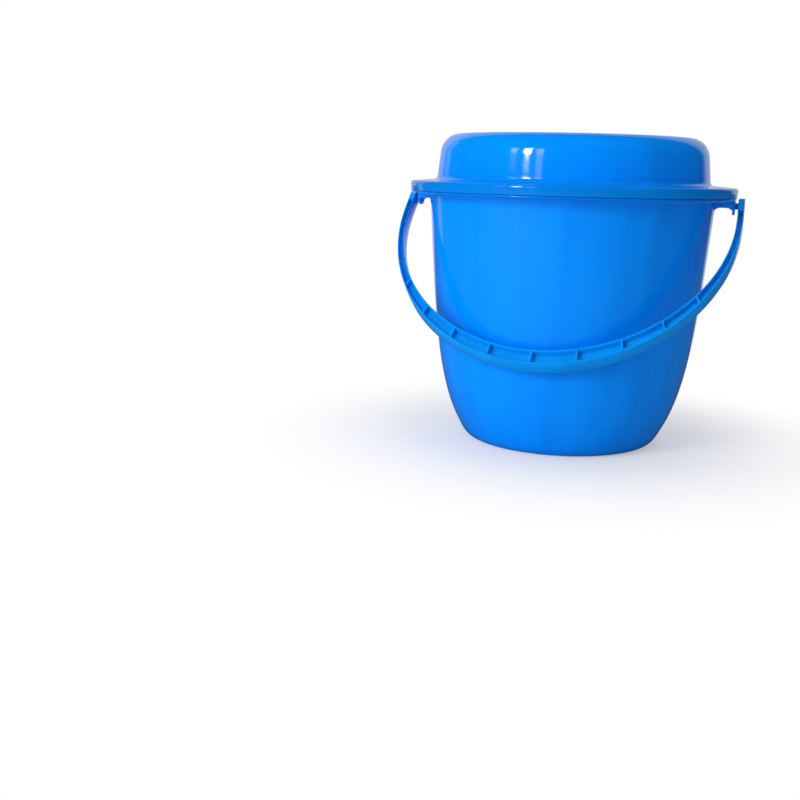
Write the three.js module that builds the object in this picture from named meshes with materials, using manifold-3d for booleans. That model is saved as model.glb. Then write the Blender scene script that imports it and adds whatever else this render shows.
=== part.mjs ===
// A household bucket with a domed lid and a swinging handle, moulded in blue polypropylene.
// Millimetres, +Z up. The origin is the middle of the foot, and the front of the bucket is -Y.
// The handle hangs down against the front wall, which is how the bucket is put away.

import * as THREE from 'three';
import { mergeVertices } from 'three/addons/utils/BufferGeometryUtils.js';
import Module from 'manifold-3d';

// Wall of the bucket
const WALL = 1.8; // thickness of the bucket's wall and base
const MOUTH_RADIUS = 131.7; // outside of the wall, right under the rim
const WALL_TOP = 229.9; // height of the underside of the rim
const MOUTH_DRAFT = 6.3; // the wall's upper part leans in by this much
const DRAFT_DEPTH = 75; // over this depth below the rim
const BELLY_RADIUS = 123.7; // pulls the wall in between the mouth and the bowl
const BELLY_HEIGHT = 64.2;
const BOWL_RADIUS = 99.1; // outside of the wall where the rounded corner of the base starts
const BOWL_HEIGHT = 17.7;

// Base
const FOOT_RADIUS = 82; // outer edge of the flat ring the bucket stands on
const FOOT_WIDTH = 11;
const BASE_LIFT = 3; // how far the middle of the base is above the foot
const FLOOR_BLEND = 1; // the inside of the wall starts this far above the base
const CORNER_FLOOR = 0.55; // share of the corner's width that keeps close to the ground
const CORNER_RISE = 0.18; // how far the wall's own direction reaches down into the corner

// Rim flange and the upstand that carries the lid
const RIM_REACH = 17.6; // the flange stands out from the wall by this much
const RIM_THICKNESS = 2.2;
const RIM_FILLET = 3;
const UPSTAND_HEIGHT = 7; // above the rim flange
const UPSTAND_STEP = 0.5; // the upstand's face stands out from the wall by this much

// Lid
const LID_OVERHANG = 0.7; // the skirt stands out from the rim flange by this much
const LID_WALL = 1.7;
const SKIRT_WALL = 1.6;
const SKIRT_CHAMFER = 1.2; // between the skirt's inside and the flange
const EDGE_ROUND = 2.6; // rounding of the lid's outer edge
const FLANGE_RISE = 1.6; // the lid's flange climbs this much towards the dome
const DOME_SETBACK = 6.4; // the foot of the dome is inside the wall's mouth by this much
const DOME_HEIGHT = 41.3; // above its foot
const DOME_DRAFT = 2.4; // the dome's side leans in by this much
const DOME_FILLET = 2.6;
const SHOULDER_RADIUS = 16;
const LIP_WIDTH = 6.9; // flat ring on top of the dome
const LIP_ROUND = 3;
const PANEL_DEPTH = 6; // the recess that takes the foot of the next bucket
const PANEL_FOOT = 1.5; // chamfer between the recess's side and its flat
const PLUG_DEPTH = 6.5; // the ring inside the lid that centres it in the mouth
const PLUG_WALL = 1.6;

// Pivot ears under the rim, one each side
const PIN_DROP = 4.4; // pivot axis below the underside of the rim
const EAR_RADIUS = 8;
const EAR_THICKNESS = 2;
const EAR_INSET = 0.6; // outer face of the ear inside the rim's edge
const WEB_THICKNESS = 1.8;
const WEB_SPACING = 15; // middle to middle of the two webs that hold an ear
const WEB_DEPTH = 5.2; // height that the arch of a web reaches for, below the rim
const WEB_FOOT_DEPTH = 10; // where a web meets the wall
const WEB_TIP_DEPTH = 7; // where it meets the ear

// Handle
const HANDLE_REACH = 193; // from the pivot axis to the outside of the grip
const ARM_DROP = 26; // the arms are widest this far below the pivots
const ARM_BULGE = 0.8; // and stand out this much further there
const HANDLE_WIDTH = 12.8; // across the flanges, square to the plane of the handle
const GRIP_HEIGHT = 15; // from the inner to the outer flange at the grip
const ARM_HEIGHT = 5.2; // the same at the pivots
const FLANGE_THICKNESS = 2;
const HANDLE_WEB = 2.4;
const RIB_THICKNESS = 1.8;
const RIB_PITCH = 38.8; // between the cross ribs, along the grip's middle
const RIB_COUNT = 9;
const ARM_POCKET = 10; // the channels of the arms end this far below the pivots
const EYE_RADIUS = 7;
const PEG_RADIUS = 2.8;
const PEG_HEAD_RADIUS = 3.7;
const PEG_HEAD_LENGTH = 2.4;

// Named clearances
const SEAT_GAP = 0.3; // between faces that rest on each other
const PLUG_CLEARANCE = 0.5; // lid's ring inside the mouth
const PEG_CLEARANCE = 0.4; // peg in the bore of its ear, all round
const EYE_CLEARANCE = 1.4; // handle's eye outside the lid's skirt

// Fineness of the round faces
const ROUND_SEGMENTS = 64;
const HANDLE_SEGMENTS = 36;
const ARC_SEGMENTS = 4;
const FILLET_SEGMENTS = 3;
const SHOULDER_SEGMENTS = 5;
const WALL_SEGMENTS = 9;
const EAR_SEGMENTS = 14;
const EYE_SEGMENTS = 28;
const PEG_SEGMENTS = 20;
const BAY_SEGMENTS = 4;
const OVERLAP = 1; // how far a joined or cutting solid runs past a face

const RIM_RADIUS = MOUTH_RADIUS + RIM_REACH;
const LID_RADIUS = RIM_RADIUS + LID_OVERHANG; // the widest round of the object
const DOME_RADIUS = MOUTH_RADIUS - DOME_SETBACK;
const SHOULDER_OUTER = DOME_RADIUS - DOME_DRAFT;
const PANEL_RADIUS = SHOULDER_OUTER - SHOULDER_RADIUS - LIP_WIDTH - LIP_ROUND;
const PIN_HEIGHT = WALL_TOP - PIN_DROP;
const EAR_OUTER = RIM_RADIUS - EAR_INSET;
const EYE_INNER = LID_RADIUS + EYE_CLEARANCE;

const wasm = await Module();
wasm.setup();

// A closed three.js geometry as a solid, and back.
function toSolid(geometry) {
  const bare = geometry.index ? geometry.toNonIndexed() : geometry.clone();
  bare.deleteAttribute('normal');
  bare.deleteAttribute('uv');
  const merged = mergeVertices(bare, 1e-4);
  return new wasm.Manifold(new wasm.Mesh({
    numProp: 3,
    vertProperties: new Float32Array(merged.attributes.position.array),
    triVerts: new Uint32Array(merged.index.array),
  }));
}

function toGeometry(solid) {
  const mesh = solid.getMesh();
  const geometry = new THREE.BufferGeometry();
  geometry.setAttribute('position', new THREE.BufferAttribute(new Float32Array(mesh.vertProperties), 3));
  geometry.setIndex(new THREE.BufferAttribute(new Uint32Array(mesh.triVerts), 1));
  geometry.computeVertexNormals();
  return geometry;
}

function joinAll(solids) {
  return solids.reduce((whole, next) => whole.add(next));
}

// A quarter round from one point to the next, bulging towards the corner between them.
function round(from, corner, to, segments = ARC_SEGMENTS) {
  const points = [];
  for (let i = 0; i <= segments; i += 1) {
    const angle = (i / segments) * (Math.PI / 2);
    points.push(new THREE.Vector2(
      corner.x + (from.x - corner.x) * (1 - Math.sin(angle)) + (to.x - corner.x) * (1 - Math.cos(angle)),
      corner.y + (from.y - corner.y) * (1 - Math.sin(angle)) + (to.y - corner.y) * (1 - Math.cos(angle)),
    ));
  }
  return points;
}

function at(radius, height) {
  return new THREE.Vector2(radius, height);
}

// The same outline, moved sideways by a distance to its left.
function offset(points, distance) {
  return points.map((point, i) => {
    const before = points[Math.max(i - 1, 0)];
    const after = points[Math.min(i + 1, points.length - 1)];
    const along = after.clone().sub(before).normalize();
    return at(point.x - along.y * distance, point.y + along.x * distance);
  });
}

function revolve(points) {
  return new THREE.LatheGeometry(points, ROUND_SEGMENTS).rotateX(Math.PI / 2);
}

// Outside of the wall, from the foot up to the rim: a rounded corner, then one long curve.
const cornerCurve = new THREE.CubicBezierCurve(
  at(FOOT_RADIUS, 0),
  at(FOOT_RADIUS + (BOWL_RADIUS - FOOT_RADIUS) * CORNER_FLOOR, 0),
  at(
    BOWL_RADIUS - (BELLY_RADIUS - BOWL_RADIUS) * CORNER_RISE,
    BOWL_HEIGHT - (BELLY_HEIGHT - BOWL_HEIGHT) * CORNER_RISE,
  ),
  at(BOWL_RADIUS, BOWL_HEIGHT),
);
const wallCurve = new THREE.CubicBezierCurve(
  at(BOWL_RADIUS, BOWL_HEIGHT),
  at(BELLY_RADIUS, BELLY_HEIGHT),
  at(MOUTH_RADIUS - MOUTH_DRAFT, WALL_TOP - DRAFT_DEPTH),
  at(MOUTH_RADIUS, WALL_TOP),
);

function wallOutline() {
  return [
    ...cornerCurve.getPoints(ARC_SEGMENTS).slice(0, -1),
    ...wallCurve.getPoints(WALL_SEGMENTS),
  ];
}

// Radius of the wall's outside at a height.
function wallRadius(height) {
  const outline = wallOutline();
  for (let i = 1; i < outline.length; i += 1) {
    if (outline[i].y >= height) {
      const share = (height - outline[i - 1].y) / (outline[i].y - outline[i - 1].y);
      return THREE.MathUtils.lerp(outline[i - 1].x, outline[i].x, share);
    }
  }
  return MOUTH_RADIUS;
}

// Bucket: body, base, rim flange and upstand in one turn of the outline.
function bucketBody() {
  const outside = wallOutline();
  const inside = offset(outside, WALL).filter((point) => point.y > WALL + BASE_LIFT + FLOOR_BLEND);
  const rimTop = WALL_TOP + RIM_THICKNESS;
  const upstandTop = rimTop + UPSTAND_HEIGHT;
  const upstandOuter = MOUTH_RADIUS + UPSTAND_STEP;
  const rimHalf = RIM_THICKNESS / 2;
  const rimEdge = [];
  for (let i = 0; i <= ARC_SEGMENTS; i += 1) {
    const angle = -Math.PI / 2 + (i / ARC_SEGMENTS) * Math.PI;
    rimEdge.push(at(
      RIM_RADIUS - rimHalf + Math.cos(angle) * rimHalf,
      WALL_TOP + rimHalf + Math.sin(angle) * rimHalf,
    ));
  }
  const outline = [
    at(0, BASE_LIFT),
    at(FOOT_RADIUS - FOOT_WIDTH - BASE_LIFT, BASE_LIFT),
    at(FOOT_RADIUS - FOOT_WIDTH, 0),
    ...outside.slice(0, -1),
    ...round(
      at(MOUTH_RADIUS, WALL_TOP - RIM_FILLET),
      at(MOUTH_RADIUS, WALL_TOP),
      at(MOUTH_RADIUS + RIM_FILLET, WALL_TOP),
      FILLET_SEGMENTS,
    ),
    ...rimEdge,
    at(upstandOuter, rimTop),
    at(upstandOuter, upstandTop - WALL / 2),
    at(upstandOuter - WALL / 2, upstandTop),
    at(MOUTH_RADIUS - WALL, upstandTop),
    ...inside.slice().reverse(),
    at(0, WALL + BASE_LIFT),
  ];
  return toSolid(revolve(outline));
}

// Ear: a round tab under the rim, held by two webs whose lower edges are arched.
function earSolid() {
  const pinToRim = PIN_DROP + RIM_THICKNESS / 2;
  const tab = new THREE.Shape();
  tab.moveTo(-EAR_RADIUS, pinToRim);
  tab.lineTo(-EAR_RADIUS, 0);
  tab.absarc(0, 0, EAR_RADIUS, Math.PI, 2 * Math.PI, false);
  tab.lineTo(EAR_RADIUS, pinToRim);
  tab.closePath();
  const plate = new THREE.ExtrudeGeometry(
    tab,
    { depth: EAR_THICKNESS, bevelEnabled: false, curveSegments: EAR_SEGMENTS },
  );
  // The shape's x runs along Y and its y along Z once it is turned to face along X.
  plate.rotateX(Math.PI / 2).rotateZ(Math.PI / 2).translate(EAR_OUTER - EAR_THICKNESS, 0, PIN_HEIGHT);

  const wallFace = wallRadius(WALL_TOP - WEB_FOOT_DEPTH) - WALL / 2;
  const earFace = EAR_OUTER - EAR_THICKNESS / 2;
  const arch = new THREE.Shape();
  arch.moveTo(wallFace, WALL_TOP + RIM_THICKNESS / 2);
  arch.lineTo(wallFace, WALL_TOP - WEB_FOOT_DEPTH);
  arch.lineTo(MOUTH_RADIUS, WALL_TOP - WEB_FOOT_DEPTH);
  arch.bezierCurveTo(
    MOUTH_RADIUS, WALL_TOP - WEB_DEPTH,
    (MOUTH_RADIUS + earFace) / 2, WALL_TOP - WEB_DEPTH,
    earFace, WALL_TOP - WEB_TIP_DEPTH,
  );
  arch.lineTo(earFace, WALL_TOP + RIM_THICKNESS / 2);
  arch.closePath();
  const web = new THREE.ExtrudeGeometry(
    arch,
    { depth: WEB_THICKNESS, bevelEnabled: false, curveSegments: 2 * ARC_SEGMENTS },
  );
  web.rotateX(Math.PI / 2);
  const left = web.clone().translate(0, (WEB_SPACING + WEB_THICKNESS) / 2, 0);
  const right = web.clone().translate(0, (WEB_THICKNESS - WEB_SPACING) / 2, 0);
  return joinAll([plate, left, right].map(toSolid));
}

function boreSolid() {
  const bore = new THREE.CylinderGeometry(
    PEG_RADIUS + PEG_CLEARANCE,
    PEG_RADIUS + PEG_CLEARANCE,
    EAR_THICKNESS + 2 * OVERLAP,
    PEG_SEGMENTS,
  );
  bore.rotateZ(Math.PI / 2).translate(EAR_OUTER - EAR_THICKNESS / 2, 0, PIN_HEIGHT);
  return toSolid(bore);
}

function makeBucket() {
  const ear = earSolid();
  const bore = boreSolid();
  const otherEar = ear.rotate([0, 0, 180]);
  const otherBore = bore.rotate([0, 0, 180]);
  return toGeometry(joinAll([bucketBody(), ear, otherEar]).subtract(bore).subtract(otherBore));
}

// Lid: skirt, flange, centring ring, dome and recessed panel in one turn of the outline.
function makeLid() {
  const skirtFoot = WALL_TOP + RIM_THICKNESS + SEAT_GAP;
  const seat = WALL_TOP + RIM_THICKNESS + UPSTAND_HEIGHT + SEAT_GAP;
  const flangeTop = seat + LID_WALL;
  const domeFoot = flangeTop + FLANGE_RISE;
  const domeTop = domeFoot + DOME_HEIGHT;
  const plugOuter = MOUTH_RADIUS - WALL - PLUG_CLEARANCE;
  const panelTop = domeTop - PANEL_DEPTH;
  const panelEdge = [
    at(0, panelTop),
    at(PANEL_RADIUS - PANEL_FOOT, panelTop),
    at(PANEL_RADIUS, panelTop + PANEL_FOOT),
    ...round(
      at(PANEL_RADIUS, domeTop - LIP_ROUND),
      at(PANEL_RADIUS, domeTop),
      at(PANEL_RADIUS + LIP_ROUND, domeTop),
      FILLET_SEGMENTS,
    ),
  ];
  const shoulder = round(
    at(SHOULDER_OUTER - SHOULDER_RADIUS, domeTop),
    at(SHOULDER_OUTER, domeTop),
    at(SHOULDER_OUTER, domeTop - SHOULDER_RADIUS),
    SHOULDER_SEGMENTS,
  );
  const outside = [
    ...panelEdge,
    ...shoulder,
    ...round(
      at(DOME_RADIUS, domeFoot + DOME_FILLET),
      at(DOME_RADIUS, domeFoot),
      at(DOME_RADIUS + DOME_FILLET, domeFoot),
      FILLET_SEGMENTS,
    ),
    ...round(
      at(LID_RADIUS - EDGE_ROUND, flangeTop),
      at(LID_RADIUS, flangeTop),
      at(LID_RADIUS, flangeTop - EDGE_ROUND),
    ),
    at(LID_RADIUS, skirtFoot),
  ];
  const domeSide = at(DOME_RADIUS, domeFoot + DOME_FILLET);
  const domeInside = offset([...panelEdge, ...shoulder, domeSide], -LID_WALL);
  const inside = [
    at(LID_RADIUS - SKIRT_WALL, skirtFoot),
    at(LID_RADIUS - SKIRT_WALL, seat - SKIRT_CHAMFER),
    at(LID_RADIUS - SKIRT_WALL - SKIRT_CHAMFER, seat),
    at(plugOuter, seat),
    at(plugOuter, seat - PLUG_DEPTH),
    at(plugOuter - PLUG_WALL, seat - PLUG_DEPTH),
    at(plugOuter - PLUG_WALL, seat),
    at(DOME_RADIUS, seat),
    ...domeInside.slice(1).reverse(),
    at(0, panelTop - LID_WALL),
  ];
  return toGeometry(toSolid(revolve([...outside, ...inside].reverse())));
}

// Handle, hanging straight down from the pivot axis in its own frame: x along the axis, y downwards.
// Each edge is half an ellipse about a point below the pivots, with short arms that curve up to them.
const armOuter = EYE_INNER + ARM_HEIGHT;

function edgeOf(inset) {
  // The two flanges part from the arms to the grip, so an inset at the grip is a smaller one up there.
  const atPivot = armOuter - ARM_HEIGHT * (inset / GRIP_HEIGHT);
  return {
    atPivot,
    half: atPivot + ARM_BULGE,
    reach: HANDLE_REACH - ARM_DROP - inset,
  };
}

function wholeBand() {
  const outer = edgeOf(0);
  const inner = edgeOf(GRIP_HEIGHT);
  const shape = new THREE.Shape();
  shape.moveTo(outer.atPivot, 0);
  shape.quadraticCurveTo(outer.half, ARM_DROP / 2, outer.half, ARM_DROP);
  shape.absellipse(0, ARM_DROP, outer.half, outer.reach, 0, Math.PI, false);
  shape.quadraticCurveTo(-outer.half, ARM_DROP / 2, -outer.atPivot, 0);
  shape.lineTo(-inner.atPivot, 0);
  shape.quadraticCurveTo(-inner.half, ARM_DROP / 2, -inner.half, ARM_DROP);
  shape.absellipse(0, ARM_DROP, inner.half, inner.reach, Math.PI, 0, true);
  shape.quadraticCurveTo(inner.half, ARM_DROP / 2, inner.atPivot, 0);
  shape.closePath();
  return shape;
}

// One bay of the channel beside the web, between two angles.
function bayShape(from, to) {
  const outer = edgeOf(FLANGE_THICKNESS);
  const inner = edgeOf(GRIP_HEIGHT - FLANGE_THICKNESS);
  const shape = new THREE.Shape();
  shape.absellipse(0, ARM_DROP, outer.half, outer.reach, from, to, false);
  shape.absellipse(0, ARM_DROP, inner.half, inner.reach, to, from, true);
  shape.closePath();
  return shape;
}

// The channel in an arm: from below the eye down to an angle, on the right side of the handle.
function armBayShape(until) {
  const outer = edgeOf(FLANGE_THICKNESS);
  const inner = edgeOf(GRIP_HEIGHT - FLANGE_THICKNESS);
  const shape = new THREE.Shape();
  shape.moveTo(inner.atPivot + ARM_BULGE / 2, ARM_POCKET);
  shape.lineTo(outer.atPivot + ARM_BULGE / 2, ARM_POCKET);
  shape.absellipse(0, ARM_DROP, outer.half, outer.reach, 0, until, false);
  shape.absellipse(0, ARM_DROP, inner.half, inner.reach, until, 0, true);
  shape.closePath();
  return shape;
}

function slab(shape, depth, middle, segments) {
  const geometry = new THREE.ExtrudeGeometry(shape, { depth, bevelEnabled: false, curveSegments: segments });
  // The shape's y points down along -Z, and its depth lies along Y.
  return toSolid(geometry.translate(0, 0, middle - depth / 2).rotateX(-Math.PI / 2));
}

// Angle on the handle's middle line at a signed arc length from the middle of the grip.
function angleAt(length) {
  const middle = edgeOf(GRIP_HEIGHT / 2);
  const steps = 400;
  const step = Math.PI / 2 / steps;
  let travelled = 0;
  let turned = 0;
  while (travelled < Math.abs(length) && turned < Math.PI / 2) {
    travelled += Math.hypot(middle.half * Math.cos(turned), middle.reach * Math.sin(turned)) * step;
    turned += step;
  }
  return Math.PI / 2 + Math.sign(length) * turned;
}

function makeHandle() {
  let handle = slab(wholeBand(), HANDLE_WIDTH, 0, HANDLE_SEGMENTS);
  const pocketDepth = (HANDLE_WIDTH - HANDLE_WEB) / 2;
  const pocketMiddle = HANDLE_WEB / 2 + (pocketDepth + OVERLAP) / 2;
  const ribs = Array.from({ length: RIB_COUNT }, (_, i) => (i - (RIB_COUNT - 1) / 2) * RIB_PITCH);
  const bays = [];
  for (let i = 1; i < RIB_COUNT; i += 1) {
    bays.push(bayShape(
      angleAt(ribs[i - 1] + RIB_THICKNESS / 2),
      angleAt(ribs[i] - RIB_THICKNESS / 2),
    ));
  }
  const armBay = armBayShape(angleAt(ribs[0] - RIB_THICKNESS / 2));
  for (const side of [-1, 1]) {
    const cut = (shape, segments) => slab(shape, pocketDepth + OVERLAP, side * pocketMiddle, segments);
    const armCut = cut(armBay, 2 * BAY_SEGMENTS);
    handle = handle.subtract(joinAll([
      ...bays.map((shape) => cut(shape, BAY_SEGMENTS)),
      armCut,
      armCut.mirror([1, 0, 0]),
    ]));
  }
  for (const side of [-1, 1]) {
    const eye = new THREE.CylinderGeometry(EYE_RADIUS, EYE_RADIUS, ARM_HEIGHT, EYE_SEGMENTS);
    eye.rotateZ(Math.PI / 2).translate(side * (EYE_INNER + ARM_HEIGHT / 2), 0, 0);
    const headFace = EAR_OUTER - EAR_THICKNESS - SEAT_GAP;
    const peg = new THREE.LatheGeometry([
      at(0, 0),
      at(PEG_RADIUS, 0),
      at(PEG_HEAD_RADIUS, PEG_HEAD_LENGTH * 0.7),
      at(PEG_HEAD_RADIUS, PEG_HEAD_LENGTH),
      at(PEG_RADIUS, PEG_HEAD_LENGTH),
      at(PEG_RADIUS, EYE_INNER + OVERLAP - headFace + PEG_HEAD_LENGTH),
      at(0, EYE_INNER + OVERLAP - headFace + PEG_HEAD_LENGTH),
    ], PEG_SEGMENTS);
    // The lathe's axis points along the pivot axis, away from the middle of the bucket.
    peg.rotateZ(-Math.PI / 2).translate(headFace - PEG_HEAD_LENGTH, 0, 0);
    if (side < 0) {
      peg.rotateZ(Math.PI);
    }
    handle = handle.add(toSolid(eye)).add(toSolid(peg));
  }
  return toGeometry(handle);
}

// The handle hangs on the front wall: the lean at which its inner rear edge comes to the wall.
function restLean() {
  const inner = edgeOf(GRIP_HEIGHT);
  const step = Math.PI / 1800;
  for (let lean = 0.3; lean < Math.PI / 2; lean += step) {
    let clear = true;
    for (let i = 0; i <= 40; i += 1) {
      const angle = (i / 40) * (Math.PI / 2);
      const x = inner.half * Math.cos(angle);
      const reach = ARM_DROP + inner.reach * Math.sin(angle);
      const y = reach * Math.sin(lean) - (HANDLE_WIDTH / 2) * Math.cos(lean);
      const z = PIN_HEIGHT - reach * Math.cos(lean) - (HANDLE_WIDTH / 2) * Math.sin(lean);
      if (z < WALL_TOP - WEB_FOOT_DEPTH && Math.hypot(x, y) < wallRadius(z) + SEAT_GAP) {
        clear = false;
      }
    }
    if (clear) {
      return lean;
    }
  }
  return Math.PI / 2;
}

const plastic = {
  bucket: new THREE.MeshStandardMaterial({ color: 0x0a84f5, roughness: 0.22, metalness: 0 }),
  lid: new THREE.MeshStandardMaterial({ color: 0x0c88f8, roughness: 0.2, metalness: 0 }),
  handle: new THREE.MeshStandardMaterial({ color: 0x0a7cdc, roughness: 0.3, metalness: 0 }),
};

function piece(name, geometry) {
  const mesh = new THREE.Mesh(geometry, plastic[name]);
  mesh.name = name;
  return mesh;
}

const object = new THREE.Group();
const hanging = new THREE.Group();
hanging.position.z = PIN_HEIGHT;
hanging.rotation.x = -restLean();
hanging.add(piece('handle', makeHandle()));
object.add(piece('bucket', makeBucket()), piece('lid', makeLid()), hanging);

export default object;
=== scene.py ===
# A blue household bucket with its domed lid on and its handle hanging against the front wall.
import math

import bpy
from mathutils import Matrix, Vector


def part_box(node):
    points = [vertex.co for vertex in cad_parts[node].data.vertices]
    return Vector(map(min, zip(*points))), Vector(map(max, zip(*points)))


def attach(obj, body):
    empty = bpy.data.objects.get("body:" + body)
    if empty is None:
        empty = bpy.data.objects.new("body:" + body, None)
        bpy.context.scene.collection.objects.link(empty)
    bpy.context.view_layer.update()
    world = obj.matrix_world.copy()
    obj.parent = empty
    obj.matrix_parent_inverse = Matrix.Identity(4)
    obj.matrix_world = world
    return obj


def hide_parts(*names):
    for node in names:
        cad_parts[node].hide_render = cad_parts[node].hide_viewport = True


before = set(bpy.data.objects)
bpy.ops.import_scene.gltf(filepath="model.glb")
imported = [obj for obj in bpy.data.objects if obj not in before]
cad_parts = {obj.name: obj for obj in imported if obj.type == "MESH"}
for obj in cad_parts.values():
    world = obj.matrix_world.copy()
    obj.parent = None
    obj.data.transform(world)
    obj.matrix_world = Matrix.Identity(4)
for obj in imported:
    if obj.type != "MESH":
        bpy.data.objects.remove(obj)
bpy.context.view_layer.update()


# The bucket is one injection moulding in glossy blue polypropylene: a thin wall that curves into a
# rounded base, a foot ring, a rim flange with an upstand for the lid, and an ear on each side under
# the rim, held by two arched webs and bored for the handle's peg.
MM = 0.001
BUCKET_WALL = 1.8 * MM
MOUTH_RADIUS = 131.7 * MM
WALL_TOP = 229.9 * MM
MOUTH_DRAFT = 6.3 * MM
DRAFT_DEPTH = 75 * MM
BELLY = (123.7 * MM, 64.2 * MM)
BOWL = (99.1 * MM, 17.7 * MM)
FOOT_RADIUS = 82 * MM
FOOT_WIDTH = 11 * MM
FOOT_PULL = 0.55
BOWL_PULL = 0.18
BASE_LIFT = 3 * MM
RIM_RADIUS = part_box("bucket")[1][1]
RIM_THICKNESS = 2.2 * MM
UPSTAND_HEIGHT = 7 * MM
UPSTAND_STEP = 0.5 * MM
RIM_FILLET = 3 * MM
CORNER_STEPS = 12
WALL_STEPS = 34
RIM_STEPS = 8
TURN_STEPS = 192
WELD_DISTANCE = 0.02 * MM
SHARP_ANGLE = math.radians(40)
SMOOTH_ANGLE = math.radians(32)
EDGE_SOFTNESS = 0.3 * MM


def bezier(start, pull_a, pull_b, end, count):
    """Points along a cubic curve, both ends included."""
    points = []
    for i in range(count + 1):
        t = i / count
        weights = ((1 - t) ** 3, 3 * t * (1 - t) ** 2, 3 * t * t * (1 - t), t ** 3)
        corners = (start, pull_a, pull_b, end)
        points.append(tuple(sum(w * p[k] for w, p in zip(weights, corners)) for k in (0, 1)))
    return points


def quarter(start, corner, end, count=6):
    """A quarter round from start to end that bulges towards the corner between them."""
    points = []
    for i in range(count + 1):
        angle = i / count * math.pi / 2
        a, b = 1 - math.sin(angle), 1 - math.cos(angle)
        points.append(tuple(
            corner[k] + (start[k] - corner[k]) * a + (end[k] - corner[k]) * b for k in (0, 1)
        ))
    return points


def offset(points, distance):
    """The same outline moved to the left of its way by a distance."""
    moved = []
    for i, point in enumerate(points):
        before, after = points[max(i - 1, 0)], points[min(i + 1, len(points) - 1)]
        dx, dy = after[0] - before[0], after[1] - before[1]
        length = math.hypot(dx, dy)
        moved.append((point[0] - dy / length * distance, point[1] + dx / length * distance))
    return moved


def draw(name, points):
    """A new object whose mesh is a chain of edges, drawn by extruding one vertex from point to point."""
    bpy.ops.object.select_all(action="DESELECT")
    bpy.ops.mesh.primitive_plane_add(size=MM)
    piece = bpy.context.object
    piece.name = name
    piece.data.name = name
    bpy.ops.object.mode_set(mode="EDIT")
    bpy.ops.mesh.select_mode(type="VERT")
    bpy.ops.mesh.select_all(action="SELECT")
    bpy.ops.mesh.merge(type="CENTER")
    bpy.ops.transform.translate(value=points[0])
    here = Vector(points[0])
    for point in points[1:]:
        step = Vector(point) - here
        bpy.ops.mesh.extrude_region_move(TRANSFORM_OT_translate={"value": step})
        here = Vector(point)
    bpy.ops.object.mode_set(mode="OBJECT")
    return piece


def turn(name, outline, steps=TURN_STEPS, axis=(0, 0, 1)):
    """A closed solid of revolution: an outline in the XZ plane, spun once round an axis and welded."""
    piece = draw(name, [(x, 0, z) for x, z in outline])
    bpy.ops.object.mode_set(mode="EDIT")
    bpy.ops.mesh.select_all(action="SELECT")
    bpy.ops.mesh.spin(steps=steps, angle=2 * math.pi, center=(0, 0, 0), axis=axis)
    bpy.ops.mesh.select_all(action="SELECT")
    bpy.ops.mesh.remove_doubles(threshold=WELD_DISTANCE)
    bpy.ops.mesh.normals_make_consistent(inside=False)
    bpy.ops.object.mode_set(mode="OBJECT")
    return piece


def plate(name, points, depth):
    """A flat outline filled with one face and pulled out to a thickness."""
    piece = draw(name, points)
    bpy.ops.object.mode_set(mode="EDIT")
    bpy.ops.mesh.select_all(action="SELECT")
    bpy.ops.mesh.edge_face_add()
    bpy.ops.mesh.extrude_region_move(TRANSFORM_OT_translate={"value": depth})
    bpy.ops.mesh.select_all(action="SELECT")
    bpy.ops.mesh.normals_make_consistent(inside=False)
    bpy.ops.object.mode_set(mode="OBJECT")
    return piece


def combine(piece, other, operation):
    """Joins or cuts a piece with another solid, which is then gone."""
    modifier = piece.modifiers.new("Combine", "BOOLEAN")
    modifier.operation = operation
    modifier.solver = "EXACT"
    modifier.object = other
    bpy.context.view_layer.objects.active = piece
    bpy.ops.object.modifier_apply(modifier=modifier.name)
    bpy.data.objects.remove(other)


def finish_edges(piece, width):
    """Softens the sharp edges as a mould does, and shades the rest smooth."""
    bpy.ops.object.select_all(action="DESELECT")
    piece.select_set(True)
    bpy.context.view_layer.objects.active = piece
    modifier = piece.modifiers.new("Soft edges", "BEVEL")
    modifier.width = width
    modifier.segments = 2
    modifier.limit_method = "ANGLE"
    modifier.angle_limit = SHARP_ANGLE
    modifier.use_clamp_overlap = True
    modifier.harden_normals = False
    bpy.ops.object.modifier_apply(modifier=modifier.name)
    bpy.ops.object.shade_smooth_by_angle(angle=SMOOTH_ANGLE)


corner_curve = bezier(
    (FOOT_RADIUS, 0),
    (FOOT_RADIUS + (BOWL[0] - FOOT_RADIUS) * FOOT_PULL, 0),
    (BOWL[0] - (BELLY[0] - BOWL[0]) * BOWL_PULL, BOWL[1] - (BELLY[1] - BOWL[1]) * BOWL_PULL),
    BOWL,
    CORNER_STEPS,
)
wall_curve = bezier(
    BOWL,
    BELLY,
    (MOUTH_RADIUS - MOUTH_DRAFT, WALL_TOP - DRAFT_DEPTH),
    (MOUTH_RADIUS, WALL_TOP),
    WALL_STEPS,
)
outside = corner_curve[:-1] + wall_curve
floor_top = BUCKET_WALL + BASE_LIFT
inside = [point for point in offset(outside, BUCKET_WALL) if point[1] > floor_top + MM]
rim_top = WALL_TOP + RIM_THICKNESS
upstand_top = rim_top + UPSTAND_HEIGHT
upstand_outer = MOUTH_RADIUS + UPSTAND_STEP
rim_half = RIM_THICKNESS / 2
rim_edge = [
    (RIM_RADIUS - rim_half + math.cos(a) * rim_half, WALL_TOP + rim_half + math.sin(a) * rim_half)
    for a in [math.pi * (i / RIM_STEPS - 0.5) for i in range(RIM_STEPS + 1)]
]
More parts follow.
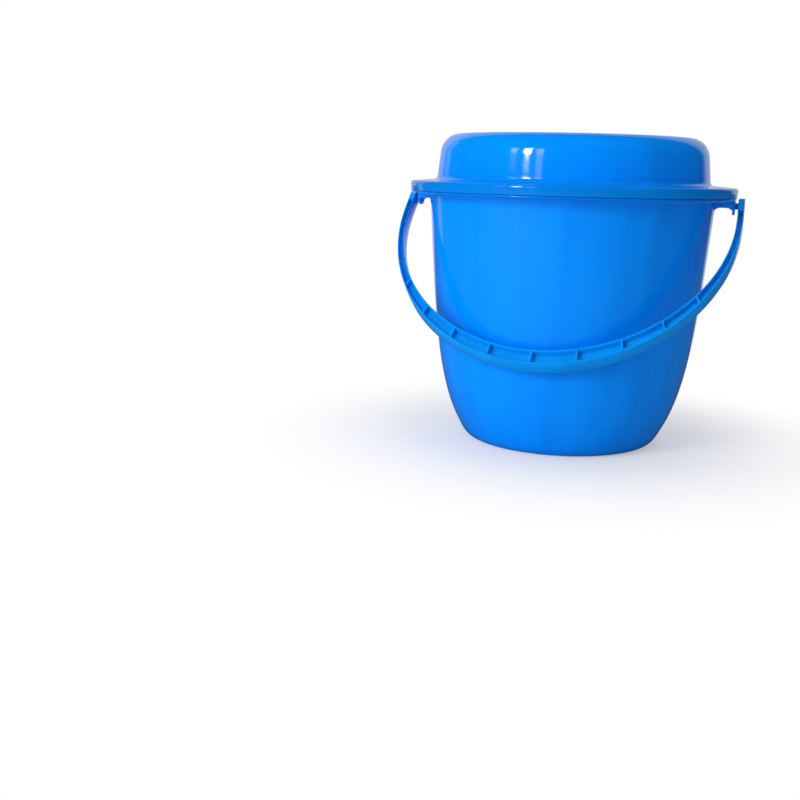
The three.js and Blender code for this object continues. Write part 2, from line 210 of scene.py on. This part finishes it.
bucket = turn("bucket_moulding", [
    (0, BASE_LIFT),
    (FOOT_RADIUS - FOOT_WIDTH - BASE_LIFT, BASE_LIFT),
    (FOOT_RADIUS - FOOT_WIDTH, 0),
    *outside[:-2],
    *quarter(
        (MOUTH_RADIUS, WALL_TOP - RIM_FILLET),
        (MOUTH_RADIUS, WALL_TOP),
        (MOUTH_RADIUS + RIM_FILLET, WALL_TOP),
    ),
    *rim_edge,
    (upstand_outer, rim_top),
    (upstand_outer, upstand_top - BUCKET_WALL / 2),
    (upstand_outer - BUCKET_WALL / 2, upstand_top),
    (MOUTH_RADIUS - BUCKET_WALL, upstand_top),
    *reversed(inside),
    (0, floor_top),
])

PIN_DEPTH = 4.4 * MM
PIN_HEIGHT = WALL_TOP - PIN_DEPTH
EAR_RADIUS = 8 * MM
EAR_THICKNESS = 2 * MM
EAR_INSET = 0.6 * MM
EAR_OUTER = RIM_RADIUS - EAR_INSET
EAR_TOP = WALL_TOP + rim_half
EAR_STEPS = 24
WEB_THICKNESS = 1.8 * MM
WEB_SPACING = 15 * MM
WEB_DEPTH = 5.2 * MM
WEB_ROOT_DEPTH = 1.7 * MM
WEB_FOOT_DEPTH = 10 * MM
WEB_FOOT_SINK = 0.2 * MM
WEB_TIP_DEPTH = 7 * MM
WEB_STEPS = 14
PEG_RADIUS = 2.8 * MM
PEG_CLEARANCE = 0.4 * MM
BORE_STEPS = 40

ear_face = EAR_OUTER - EAR_THICKNESS / 2
web_root = MOUTH_RADIUS - WEB_ROOT_DEPTH
web_foot = MOUTH_RADIUS - WEB_FOOT_DEPTH * MOUTH_DRAFT / DRAFT_DEPTH - WEB_FOOT_SINK
round_edge = [
    (math.cos(a) * EAR_RADIUS, PIN_HEIGHT + math.sin(a) * EAR_RADIUS)
    for a in [math.pi + math.pi * i / EAR_STEPS for i in range(EAR_STEPS + 1)]
]
arch = [
    (web_root, EAR_TOP),
    (web_root, WALL_TOP - WEB_FOOT_DEPTH),
    *bezier(
        (web_foot, WALL_TOP - WEB_FOOT_DEPTH),
        (web_foot, WALL_TOP - WEB_DEPTH),
        ((MOUTH_RADIUS + ear_face) / 2, WALL_TOP - WEB_DEPTH),
        (ear_face, WALL_TOP - WEB_TIP_DEPTH),
        WEB_STEPS,
    ),
    (ear_face, EAR_TOP),
]

for side in (-1, 1):
    inner_x = side * (EAR_OUTER - EAR_THICKNESS)
    ear = plate(
        "ear",
        [(inner_x, y, z) for y, z in [(-EAR_RADIUS, EAR_TOP), *round_edge, (EAR_RADIUS, EAR_TOP)]],
        (side * EAR_THICKNESS, 0, 0),
    )
    combine(bucket, ear, "UNION")
    for place in (-1, 1):
        near = place * WEB_SPACING / 2 - WEB_THICKNESS / 2
        web = plate("web", [(side * x, near, z) for x, z in arch], (0, WEB_THICKNESS, 0))
        combine(bucket, web, "UNION")
    bpy.ops.object.select_all(action="DESELECT")
    bpy.ops.mesh.primitive_cylinder_add(
        vertices=BORE_STEPS, radius=PEG_RADIUS + PEG_CLEARANCE, depth=4 * EAR_THICKNESS,
        location=(side * ear_face, 0, PIN_HEIGHT), rotation=(0, math.pi / 2, 0),
    )
    bore = bpy.context.object
    bpy.ops.object.transform_apply(location=True, rotation=True, scale=True)
    combine(bucket, bore, "DIFFERENCE")
finish_edges(bucket, EDGE_SOFTNESS)


class Value:
    """A node socket that arithmetic works on, in the node tree that is being made."""

    tree = None

    def __init__(self, socket):
        self.socket = socket

    @classmethod
    def node(cls, kind, settings=(), **inputs):
        made = cls.tree.nodes.new(kind)
        for name, setting in dict(settings).items():
            setattr(made, name, setting)
        for name, value in inputs.items():
            by_number = name[1:].isdigit()
            target = made.inputs[int(name[1:]) if by_number else name.replace("_", " ")]
            if isinstance(value, Value):
                cls.tree.links.new(value.socket, target)
            else:
                target.default_value = value
        return made

    def _math(self, operation, other, flip=False):
        first, second = (other, self) if flip else (self, other)
        made = Value.node("ShaderNodeMath", {"operation": operation}, i0=first, i1=second)
        return Value(made.outputs[0])

    def __add__(self, other):
        return self._math("ADD", other)

    def __sub__(self, other):
        return self._math("SUBTRACT", other)

    def __mul__(self, other):
        return self._math("MULTIPLY", other)

    def __rsub__(self, other):
        return self._math("SUBTRACT", other, flip=True)

    __radd__ = __add__
    __rmul__ = __mul__

    def ramp(self, low, high, to_low=0.0, to_high=1.0):
        made = Value.node(
            "ShaderNodeMapRange", {"interpolation_type": "SMOOTHSTEP"},
            Value=self, From_Min=low, From_Max=high, To_Min=to_low, To_Max=to_high,
        )
        return Value(made.outputs[0])


WAVES = {"scale": 9.0, "detail": 1.0, "rough": 0.4, "stretch": (1, 1, 0.55)}
STREAKS = {"scale": 38.0, "detail": 2.0, "rough": 0.5, "stretch": (1, 1, 0.05)}
GRAIN = {"scale": 420.0, "detail": 2.0, "rough": 0.6, "stretch": (1, 1, 1)}
SCRATCHES = {"scale": 60.0, "detail": 3.0, "rough": 0.7, "stretch": (1, 1, 14)}
SCUFFS = {"scale": 14.0, "detail": 4.0, "rough": 0.65, "stretch": (1, 1, 1)}
RELIEF = {"waves": 1.1, "streaks": 0.12, "grain": 0.008, "scratches": 0.012, "weld line": 0.14}
# How much deeper in colour: at the foot, along the flow streaks, and in the band of painted shade.
DEEPER = {"foot": 0.12, "streaks": 0.35, "painted_shade_band": 0.9}
DULLER = {"scuffs": 0.035, "scratches": 0.08}
SKIN = {
    "IOR": 1.49,
    "Subsurface Weight": 0.15,
    "Subsurface Radius": (0.1, 0.5, 1.0),
    "Subsurface Scale": 0.008,
}
STREAK_CUT = (0.3, 0.75)
SCRATCH_CUT = (0.68, 0.76)
SCUFF_CUT = (0.52, 0.72)
BUMP_STRENGTH = 0.35
BUMP_DISTANCE = 1 * MM
FOOT_BAND = 30 * MM
WELD_LINE_WIDTH = 0.8 * MM
WELD_LINE_WANDER = 20 * MM
WELD_LINE_TOP = (140 * MM, 190 * MM)
FRONT_ONLY = (-100 * MM, -50 * MM)


def moulded_plastic(name, colour, deep, roughness, painted_shade_band=None, weld_line=None):
    """Glossy polypropylene, deeper in colour at the foot, with painted shade in a band between two
    heights.

    Low waves from uneven cooling, flow streaks, a polish grain, hair scratches, scuffs and a faint weld
    line at a place across the front break up the gloss.
    """
    material = bpy.data.materials.new(name)
    material.use_nodes = True
    Value.tree = material.node_tree
    shader = material.node_tree.nodes["Principled BSDF"]
    place = Value(Value.node("ShaderNodeTexCoord").outputs["Object"])
    split = Value.node("ShaderNodeSeparateXYZ", i0=place)
    across, along, height = (Value(split.outputs[axis]) for axis in "XYZ")

    def noise(scale, detail, rough, stretch):
        mapped = Value(Value.node("ShaderNodeMapping", i0=place, Scale=stretch).outputs[0])
        return Value(Value.node(
            "ShaderNodeTexNoise", Vector=mapped, Scale=scale, Detail=detail, Roughness=rough,
        ).outputs[0])

    waves = noise(**WAVES)
    streaks = noise(**STREAKS)
    grain = noise(**GRAIN)
    scratches = noise(**SCRATCHES).ramp(*SCRATCH_CUT)
    scuffs = noise(**SCUFFS).ramp(*SCUFF_CUT)
    foot = 1 - height.ramp(0.0, FOOT_BAND)
    deepening_with_painted_shade = foot * DEEPER["foot"] + streaks.ramp(*STREAK_CUT) * DEEPER["streaks"]
    relief = waves * RELIEF["waves"] + streaks * RELIEF["streaks"]
    relief = relief + grain * RELIEF["grain"] + scratches * RELIEF["scratches"]
    # Painted shade: the band between the two given heights is made deeper in colour where shade falls.
    if painted_shade_band:
        low, high = painted_shade_band
        band = height.ramp(low - MM, low) * (1 - height.ramp(high - 0.5 * MM, high + 0.5 * MM))
        deepening_with_painted_shade = deepening_with_painted_shade + band * DEEPER["painted_shade_band"]
    if weld_line:
        aside = across - (weld_line + (waves - 0.5) * WELD_LINE_WANDER)
        seam = aside.ramp(-WELD_LINE_WIDTH, 0.0) * (1 - aside.ramp(0.0, WELD_LINE_WIDTH))
        seam = seam * (1 - along.ramp(*FRONT_ONLY)) * (1 - height.ramp(*WELD_LINE_TOP))
        relief = relief + seam * RELIEF["weld line"]
    mixed = Value.node(
        "ShaderNodeMix", {"data_type": "RGBA"}, i0=deepening_with_painted_shade, i6=(*colour, 1), i7=(*deep, 1),
    )
    material.node_tree.links.new(mixed.outputs[2], shader.inputs["Base Color"])
    gloss = roughness + scuffs * DULLER["scuffs"] + scratches * DULLER["scratches"]
    material.node_tree.links.new(gloss.socket, shader.inputs["Roughness"])
    bump = Value.node("ShaderNodeBump", Height=relief, Strength=BUMP_STRENGTH, Distance=BUMP_DISTANCE)
    material.node_tree.links.new(bump.outputs[0], shader.inputs["Normal"])
    for socket, value in SKIN.items():
        shader.inputs[socket].default_value = value
    return material


def coat(piece, plastic):
    """Gives a piece its plastic, in place of any material it has."""
    piece.data.materials.clear()
    piece.data.materials.append(plastic)


BUCKET_BLUE = (0.0, 0.26, 0.98)
BUCKET_DEEP_BLUE = (0.0, 0.17, 0.7)
BUCKET_ROUGHNESS = 0.07
WELD_LINE_PLACE = 12.4 * MM
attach(bucket, "bucket")
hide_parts("bucket")
# The band from the wall's top to the rim's top is painted shade on the rim's edge, under the lid's skirt.
coat(bucket, moulded_plastic(
    "bucket_plastic", BUCKET_BLUE, BUCKET_DEEP_BLUE, BUCKET_ROUGHNESS,
    painted_shade_band=(WALL_TOP, rim_top), weld_line=WELD_LINE_PLACE,
))


# The lid is a second moulding in the same plastic: a tall dome whose top is sunk into a round stacking
# panel, with a flange, a short skirt round the rim and a ring that centres it in the mouth.
LID_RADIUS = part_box("lid")[1][1]
LID_WALL = 1.7 * MM
SKIRT_WALL = 1.6 * MM
EDGE_ROUND = 2.6 * MM
FLANGE_RISE = 1.6 * MM
DOME_RADIUS = 125.3 * MM
DOME_HEIGHT = 41.3 * MM
DOME_DRAFT = 2.4 * MM
DOME_FILLET = 3.6 * MM
SHOULDER_RADIUS = 16 * MM
PANEL_RADIUS = 97 * MM
PANEL_DEPTH = 6 * MM
PANEL_FILLET = 1.6 * MM
LIP_ROUND = 3 * MM
PLUG_DEPTH = 6.5 * MM
PLUG_WALL = 1.6 * MM
PLUG_CLEARANCE = 0.5 * MM
SEAT_GAP = 0.3 * MM
SKIRT_GAP = 0.1 * MM
SKIRT_CHAMFER = 1.2 * MM
PANEL_FILLET_STEPS = 4
FOOT_FILLET_STEPS = 6
ROUND_STEPS = 8
SIDE_STEPS = 8
SHOULDER_STEPS = 18

skirt_foot = rim_top + SKIRT_GAP
skirt_inner = LID_RADIUS - SKIRT_WALL
seat = upstand_top + SEAT_GAP
flange_top = seat + LID_WALL
dome_foot = flange_top + FLANGE_RISE
dome_top = dome_foot + DOME_HEIGHT
panel_top = dome_top - PANEL_DEPTH
shoulder_foot = dome_top - SHOULDER_RADIUS
side_radius = DOME_RADIUS - DOME_DRAFT
side_height = DOME_HEIGHT - SHOULDER_RADIUS - DOME_FILLET
side_slope = DOME_DRAFT / side_height
plug_outer = MOUTH_RADIUS - BUCKET_WALL - PLUG_CLEARANCE
panel_fillet = quarter(
    (PANEL_RADIUS - PANEL_FILLET, panel_top),
    (PANEL_RADIUS, panel_top),
    (PANEL_RADIUS, panel_top + PANEL_FILLET),
    PANEL_FILLET_STEPS,
)
panel_lip = quarter(
    (PANEL_RADIUS, dome_top - LIP_ROUND),
    (PANEL_RADIUS, dome_top),
    (PANEL_RADIUS + LIP_ROUND, dome_top),
    ROUND_STEPS,
)
shoulder = quarter(
    (side_radius - SHOULDER_RADIUS, dome_top),
    (side_radius - SHOULDER_RADIUS * side_slope, dome_top),
    (side_radius, shoulder_foot),
    SHOULDER_STEPS,
)
side_wall = [
    (side_radius + DOME_DRAFT * k / SIDE_STEPS, shoulder_foot - side_height * k / SIDE_STEPS)
    for k in range(1, SIDE_STEPS + 1)
]
dome = [
    (0, panel_top),
    (PANEL_RADIUS - LIP_ROUND, panel_top),
    *panel_fillet[1:],
    *panel_lip,
    *shoulder,
    *side_wall,
]
foot_fillet = quarter(
    (DOME_RADIUS, dome_foot + DOME_FILLET),
    (DOME_RADIUS, dome_foot),
    (DOME_RADIUS + DOME_FILLET, dome_foot),
    FOOT_FILLET_STEPS,
)
flange_edge = quarter(
    (LID_RADIUS - EDGE_ROUND, flange_top),
    (LID_RADIUS, flange_top),
    (LID_RADIUS, flange_top - EDGE_ROUND),
    ROUND_STEPS,
)
lid_outline = [
    *dome,
    *foot_fillet[1:],
    *flange_edge,
    (LID_RADIUS, skirt_foot),
    (skirt_inner, skirt_foot),
    (skirt_inner, seat - SKIRT_CHAMFER),
    (skirt_inner - SKIRT_CHAMFER, seat),
    (plug_outer, seat),
    (plug_outer, seat - PLUG_DEPTH),
    (plug_outer - PLUG_WALL, seat - PLUG_DEPTH),
    (plug_outer - PLUG_WALL, seat),
    (DOME_RADIUS, seat),
    *reversed(offset(dome, -LID_WALL)[1:]),
    (0, panel_top - LID_WALL),
]
lid = turn("lid_moulding", lid_outline)
finish_edges(lid, EDGE_SOFTNESS)

LID_BLUE = (0.0, 0.25, 0.98)
LID_DEEP_BLUE = (0.0, 0.18, 0.64)
LID_ROUGHNESS = 0.06
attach(lid, "lid")
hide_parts("lid")
# The band from the skirt's foot to the flange's top is painted shade on the skirt's face and the flange's
# round edge.
coat(lid, moulded_plastic(
    "lid_plastic", LID_BLUE, LID_DEEP_BLUE, LID_ROUGHNESS, painted_shade_band=(skirt_foot, flange_top),
))


# The handle is the third moulding, stiffer and more satin: a bail of I-section, a thin web between an
# inner and an outer flange with cross ribs along the grip, an eye at each end, and a snap peg on each
# eye. It is modelled hanging straight down and then leaned against the front wall.
HANDLE_REACH = 193 * MM
ARM_DROP = 26 * MM
ARM_BULGE = 0.8 * MM
HANDLE_WIDTH = 12.8 * MM
GRIP_HEIGHT = 15 * MM
ARM_HEIGHT = 5.2 * MM
FLANGE_THICKNESS = 2 * MM
HANDLE_WEB = 2.4 * MM
RIB_THICKNESS = 1.8 * MM
RIB_PITCH = 38.8 * MM
RIB_COUNT = 9
ARM_POCKET = 10 * MM
EYE_RADIUS = 7 * MM
EYE_CLEARANCE = 1.4 * MM
EYE_INNER = LID_RADIUS + EYE_CLEARANCE
EYE_STEPS = 64
PEG_HEAD_RADIUS = 3.7 * MM
PEG_HEAD_LENGTH = 2.4 * MM
PEG_HEAD_RIM = 0.3
PEG_ROOT_DEPTH = 1 * MM
PEG_STEPS = 40
LEAN = math.radians(44.489)
BAY_STEPS = 8
END_BAY_STEPS = 24
ARM_TOP_STEPS = 3
ARM_POCKET_STEPS = 4
ARC_STEPS = 800
HANDLE_SOFTNESS = 0.5 * MM


def edge_of(inset):
    """Half width at the pivot and below the arm, and reach below the arm, of one edge line."""
    at_pivot = EYE_INNER + ARM_HEIGHT - ARM_HEIGHT * inset / GRIP_HEIGHT
    return at_pivot, at_pivot + ARM_BULGE, HANDLE_REACH - ARM_DROP - inset


def angle_at(length):
    """Angle on the handle's middle line at a signed arc length from the middle of the grip."""
    half, reach = edge_of(GRIP_HEIGHT / 2)[1:]
    step = math.pi / 2 / ARC_STEPS
    travelled = turned = 0
    while travelled < abs(length) and turned < math.pi / 2:
        travelled += math.hypot(half * math.cos(turned), reach * math.sin(turned)) * step
        turned += step
    return math.pi / 2 + math.copysign(turned, length)


ribs = [(i - (RIB_COUNT - 1) / 2) * RIB_PITCH for i in range(RIB_COUNT)]
rib_sides = [angle_at(rib + half * RIB_THICKNESS / 2) for rib in ribs for half in (-1, 1)]
bay_ends = [0, *rib_sides, math.pi]
bays = list(zip(bay_ends[::2], bay_ends[1::2]))
angles = []
for start, stop in bays:
    steps = END_BAY_STEPS if start == 0 or stop == math.pi else BAY_STEPS
    angles += [start + (stop - start) * k / steps for k in range(steps + 1)]
arm_drops = [
    *[ARM_POCKET * k / ARM_TOP_STEPS for k in range(ARM_TOP_STEPS)],
    *[ARM_POCKET + (ARM_DROP - ARM_POCKET) * k / ARM_POCKET_STEPS for k in range(ARM_POCKET_STEPS)],
]


def arm_swell(down):
    """How far an arm stands out beyond its place at the pivot, at a distance down from it."""
    return ARM_BULGE * (1 - (1 - down / ARM_DROP) ** 2)


def edge_line(inset):
    """One edge of the handle in the XZ plane, from the right pivot down, across and up to the left."""
    at_pivot, half, reach = edge_of(inset)
    arm = [(at_pivot + arm_swell(down), down) for down in arm_drops]
    across = [(half * math.cos(a), ARM_DROP + reach * math.sin(a)) for a in angles]
    line = [*arm, *across, *[(-x, y) for x, y in reversed(arm)]]
    return [(x, -HANDLE_WIDTH / 2, -y) for x, y in line]


def weld(pieces, name):
    """Several meshes as one, with the vertices that lie on each other merged."""
    bpy.ops.object.select_all(action="DESELECT")
    for one in pieces:
        one.select_set(True)
    bpy.context.view_layer.objects.active = pieces[0]
    bpy.ops.object.join()
    pieces[0].name = name
    pieces[0].data.name = name
    bpy.ops.object.mode_set(mode="EDIT")
    bpy.ops.mesh.select_all(action="SELECT")
    bpy.ops.mesh.remove_doubles(threshold=WELD_DISTANCE)
    bpy.ops.object.mode_set(mode="OBJECT")
    return pieces[0]


insets = (0, FLANGE_THICKNESS, GRIP_HEIGHT - FLANGE_THICKNESS, GRIP_HEIGHT)
strips = []
for outer_inset, inner_inset in zip(insets, insets[1:]):
    strip = weld(
        [draw("handle_edge", edge_line(outer_inset)), draw("handle_edge", edge_line(inner_inset))],
        "handle_strip",
    )
    bpy.ops.object.mode_set(mode="EDIT")
    bpy.ops.mesh.select_all(action="SELECT")
    bpy.ops.mesh.bridge_edge_loops()
    bpy.ops.object.mode_set(mode="OBJECT")
    strips.append(strip)
handle = weld(strips, "handle_moulding")
bpy.ops.object.mode_set(mode="EDIT")
bpy.ops.mesh.select_all(action="SELECT")
bpy.ops.mesh.extrude_region_move(TRANSFORM_OT_translate={"value": (0, HANDLE_WIDTH, 0)})
bpy.ops.mesh.select_all(action="SELECT")
bpy.ops.mesh.normals_make_consistent(inside=False)
bpy.ops.object.mode_set(mode="OBJECT")


SIDE_FACING = 0.9
WEB_STRIP = (0.3, 0.7)


def between_flanges(share):
    """True for the middle strip, at its share of the way from the outer edge to the inner one."""
    return WEB_STRIP[0] < share < WEB_STRIP[1]


def in_bay(face):
    """True for a side face that lies between the two flanges and between two ribs."""
    if abs(face.normal.y) < SIDE_FACING:
        return False
    outer, inner = edge_of(0), edge_of(GRIP_HEIGHT)
    x, down = face.center.x, -face.center.z
    if down < ARM_DROP:
        share = (outer[0] + arm_swell(down) - abs(x)) / (outer[0] - inner[0])
        return down > ARM_POCKET and between_flanges(share)
    depth = down - ARM_DROP
    half, reach = edge_of(GRIP_HEIGHT / 2)[1:]
    angle = math.atan2(depth / reach, x / half)
    far = math.hypot(outer[1] * math.cos(angle), outer[2] * math.sin(angle))
    near = math.hypot(inner[1] * math.cos(angle), inner[2] * math.sin(angle))
    share = (far - math.hypot(x, depth)) / (far - near)
    return between_flanges(share) and any(start < angle < stop for start, stop in bays)


pocket_depth = (HANDLE_WIDTH - HANDLE_WEB) / 2
for side in (-1, 1):
    bpy.ops.object.mode_set(mode="EDIT")
    bpy.ops.mesh.select_mode(type="FACE")
    bpy.ops.mesh.select_all(action="DESELECT")
    bpy.ops.object.mode_set(mode="OBJECT")
    for face in handle.data.polygons:
        face.select = face.normal.y * side > 0 and in_bay(face)
    bpy.ops.object.mode_set(mode="EDIT")
    bpy.ops.mesh.extrude_region_move(TRANSFORM_OT_translate={"value": (0, -side * pocket_depth, 0)})
    bpy.ops.object.mode_set(mode="OBJECT")

head_face = EAR_OUTER - EAR_THICKNESS - SEAT_GAP
peg_tip = head_face - PEG_HEAD_LENGTH
peg_root = EYE_INNER + PEG_ROOT_DEPTH
peg_outline = [
    (peg_tip, 0),
    (peg_tip, PEG_RADIUS),
    (head_face - PEG_HEAD_LENGTH * PEG_HEAD_RIM, PEG_HEAD_RADIUS),
    (head_face, PEG_HEAD_RADIUS),
    (head_face, PEG_RADIUS),
    (peg_root, PEG_RADIUS),
    (peg_root, 0),
]
for side in (-1, 1):
    bpy.ops.object.select_all(action="DESELECT")
    bpy.ops.mesh.primitive_cylinder_add(
        vertices=EYE_STEPS, radius=EYE_RADIUS, depth=ARM_HEIGHT,
        location=(side * (EYE_INNER + ARM_HEIGHT / 2), 0, 0), rotation=(0, math.pi / 2, 0),
    )
    eye = bpy.context.object
    bpy.ops.object.transform_apply(location=True, rotation=True, scale=True)
    combine(handle, eye, "UNION")
    peg = turn("peg", [(side * x, y) for x, y in peg_outline], steps=PEG_STEPS, axis=(1, 0, 0))
    combine(handle, peg, "UNION")
finish_edges(handle, HANDLE_SOFTNESS)
bpy.ops.object.mode_set(mode="EDIT")
bpy.ops.mesh.select_all(action="SELECT")
bpy.ops.transform.rotate(value=LEAN, orient_axis="X", center_override=(0, 0, 0))
bpy.ops.transform.translate(value=(0, 0, PIN_HEIGHT))
bpy.ops.object.mode_set(mode="OBJECT")

# The handle is the bucket's plastic; its two blues, greener and less deep than the bucket's, are painted
# light for the greener bounce light on the grip.
HANDLE_BLUE_WITH_PAINTED_LIGHT = (0.0, 0.29, 0.84)
HANDLE_DEEP_BLUE = (0.0, 0.19, 0.6)
HANDLE_ROUGHNESS = 0.12
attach(handle, "handle")
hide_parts("handle")
coat(handle, moulded_plastic("handle_plastic", HANDLE_BLUE_WITH_PAINTED_LIGHT, HANDLE_DEEP_BLUE, HANDLE_ROUGHNESS))


# The stage: a plain pale floor just under the bucket, a white surrounding, and soft studio lamps. The key
# and the ceiling light the plastic, and the panes beside each other are the window that the dome mirrors.
FLOOR_SIZE = 12
FLOOR_HEIGHT = -0.2 * MM
FLOOR_LIT = 0.85
FLOOR_SEEN = 0.95
FLOOR_MIRRORED = 0.08
FLOOR_ROUGHNESS = 0.7
FLOOR_SPECULAR = 0.1
SHADOW_REACH = (0.12, 0.32)
SHADOW_WHITE = (0.4, 1.0)
HORIZON_MIRRORED = 0.8
HORIZON_START = (0.3, 0.7)
HORIZON_CONE = (0.8, 0.9)
bpy.ops.object.select_all(action="DESELECT")
bpy.ops.mesh.primitive_plane_add(size=FLOOR_SIZE, location=(0, 0, FLOOR_HEIGHT))
floor = bpy.context.object
floor.name = "floor"

# towards the white wall behind the bucket, a little upwards
BEHIND = Vector((-0.19, 0.947, 0.259))
floor_material = bpy.data.materials.new("floor_white")
floor_material.use_nodes = True
tree = floor_material.node_tree
Value.tree = tree
paper = tree.nodes["Principled BSDF"]
paper.inputs["Roughness"].default_value = FLOOR_ROUGHNESS
paper.inputs["Specular IOR Level"].default_value = FLOOR_SPECULAR
paths = Value.node("ShaderNodeLightPath")
seen = Value(paths.outputs["Is Camera Ray"])
glossy = Value(paths.outputs["Is Glossy Ray"])
level = FLOOR_LIT + seen * (FLOOR_SEEN - FLOOR_LIT) - glossy * (FLOOR_LIT - FLOOR_MIRRORED)
grey = Value.node("ShaderNodeCombineColor", Red=level, Green=level, Blue=level)
tree.links.new(grey.outputs[0], paper.inputs["Base Color"])
spot = Value(Value.node("ShaderNodeTexCoord").outputs["Object"])
far = Value(Value.node("ShaderNodeVectorMath", {"operation": "LENGTH"}, i0=spot).outputs["Value"])
heading = Value(Value.node("ShaderNodeVectorMath", {"operation": "NORMALIZE"}, i0=spot).outputs["Vector"])
beyond = Value(Value.node(
    "ShaderNodeVectorMath", {"operation": "DOT_PRODUCT"}, i0=heading, i1=BEHIND,
).outputs["Value"])
glow = Value.node("ShaderNodeEmission", Color=(1, 1, 1, 1), Strength=1.0)
horizon = beyond.ramp(*HORIZON_CONE) * far.ramp(*HORIZON_START)
white = seen * far.ramp(*SHADOW_REACH, *SHADOW_WHITE) + glossy * horizon * HORIZON_MIRRORED
blend = Value.node("ShaderNodeMixShader", i0=white)
tree.links.new(paper.outputs[0], blend.inputs[1])
tree.links.new(glow.outputs[0], blend.inputs[2])
tree.links.new(blend.outputs[0], tree.nodes["Material Output"].inputs["Surface"])
floor.data.materials.append(floor_material)

ROOM_LIGHT = 0.46
ROOM_MIRRORED = 0.02
ROOM_BEHIND = 0.62
ROOM_BEHIND_CONE = (0.7, 0.82)
world = bpy.data.worlds.new("studio")
bpy.context.scene.world = world
world.use_nodes = True
tree = world.node_tree
Value.tree = tree
room = tree.nodes["Background"]
paths = Value.node("ShaderNodeLightPath")
direction = Value(Value.node("ShaderNodeTexCoord").outputs["Generated"])
behind = Value(Value.node(
    "ShaderNodeVectorMath", {"operation": "DOT_PRODUCT"}, i0=direction, i1=BEHIND,
).outputs["Value"]).ramp(*ROOM_BEHIND_CONE)
camera_ray = Value(paths.outputs["Is Camera Ray"])
glossy_ray = Value(paths.outputs["Is Glossy Ray"])
front = ROOM_LIGHT - glossy_ray * (ROOM_LIGHT - ROOM_MIRRORED)
room_level = front + (ROOM_BEHIND - front) * behind
level = camera_ray + (1 - camera_ray) * room_level
tree.links.new(level.socket, room.inputs["Strength"])
room.inputs["Color"].default_value = (1, 1, 1, 1)

LAMP_TARGET = Vector((0, 0, 0.16))
LAMPS = (
    # name, place, width and height, power, shape, seen in the gloss
    ("key", (-0.81, -1.38, 0.32), (0.9, 0.9), 11.8, "RECTANGLE", False),
    ("ceiling", (0.1, -0.2, 1.9), (1.6, 1.6), 9, "RECTANGLE", False),
    ("pane_middle", (-0.65, -1.345, 0.778), (0.19, 0.355), 5.2, "RECTANGLE", True),
    ("pane_point_high", (-0.65, -1.345, 0.592), (0.15, 0.02), 0.27, "ELLIPSE", True),
    ("pane_point_low", (-0.65, -1.345, 0.581), (0.08, 0.016), 0.11, "ELLIPSE", True),
    ("pane_foot", (-0.65, -1.345, 0.558), (0.12, 0.035), 0.05, "RECTANGLE", True),
    ("pane_left", (-0.92, -1.2, 0.774), (0.16, 0.355), 0.93, "RECTANGLE", True),
    ("pane_left_foot", (-0.92, -1.2, 0.565), (0.14, 0.05), 0.02, "RECTANGLE", True),
    ("pane_right", (-0.4, -1.455, 0.768), (0.16, 0.355), 0.75, "RECTANGLE", True),
    ("pane_right_foot", (-0.4, -1.455, 0.56), (0.14, 0.05), 0.04, "RECTANGLE", True),
    ("side_card", (-1.34, 0.67, 0.3), (0.22, 1.2), 0.35, "RECTANGLE", True),
)
for name, place, size, power, shape, mirrored in LAMPS:
    light = bpy.data.lights.new(name, "AREA")
    light.shape = shape
    light.size, light.size_y = size
    light.energy = power
    lamp = bpy.data.objects.new(name, light)
    lamp.visible_glossy = mirrored
    bpy.context.scene.collection.objects.link(lamp)
    facing = (LAMP_TARGET - Vector(place)).to_track_quat("-Z", "Y").to_matrix().to_4x4()
    lamp.matrix_world = Matrix.Translation(place) @ facing

CAMERA_PLACE = (0.2093, -1.0395, 0.2505)
CAMERA_HEADING = math.radians(19.8)
CAMERA_PITCH = math.radians(11.84)
CAMERA_ROLL = math.radians(1.434)
FOCAL_PIXELS = 1100
FRAME_WIDTH = 800
SENSOR_WIDTH = 36
camera_data = bpy.data.cameras.new("camera")
camera_data.sensor_width = SENSOR_WIDTH
camera_data.lens = FOCAL_PIXELS / FRAME_WIDTH * SENSOR_WIDTH
camera_data.clip_start = 0.02
camera = bpy.data.objects.new("camera", camera_data)
bpy.context.scene.collection.objects.link(camera)
ahead = Vector((
    -math.sin(CAMERA_HEADING) * math.cos(CAMERA_PITCH),
    math.cos(CAMERA_HEADING) * math.cos(CAMERA_PITCH),
    -math.sin(CAMERA_PITCH),
))
level_right = Vector((math.cos(CAMERA_HEADING), math.sin(CAMERA_HEADING), 0))
level_up = level_right.cross(ahead)
right = level_right * math.cos(CAMERA_ROLL) + level_up * math.sin(CAMERA_ROLL)
up = right.cross(ahead)
turned = Matrix((right, up, -ahead)).transposed().to_4x4()
camera.matrix_world = Matrix.Translation(CAMERA_PLACE) @ turned
bpy.context.scene.camera = camera
bpy.context.scene.view_settings.view_transform = "Standard"
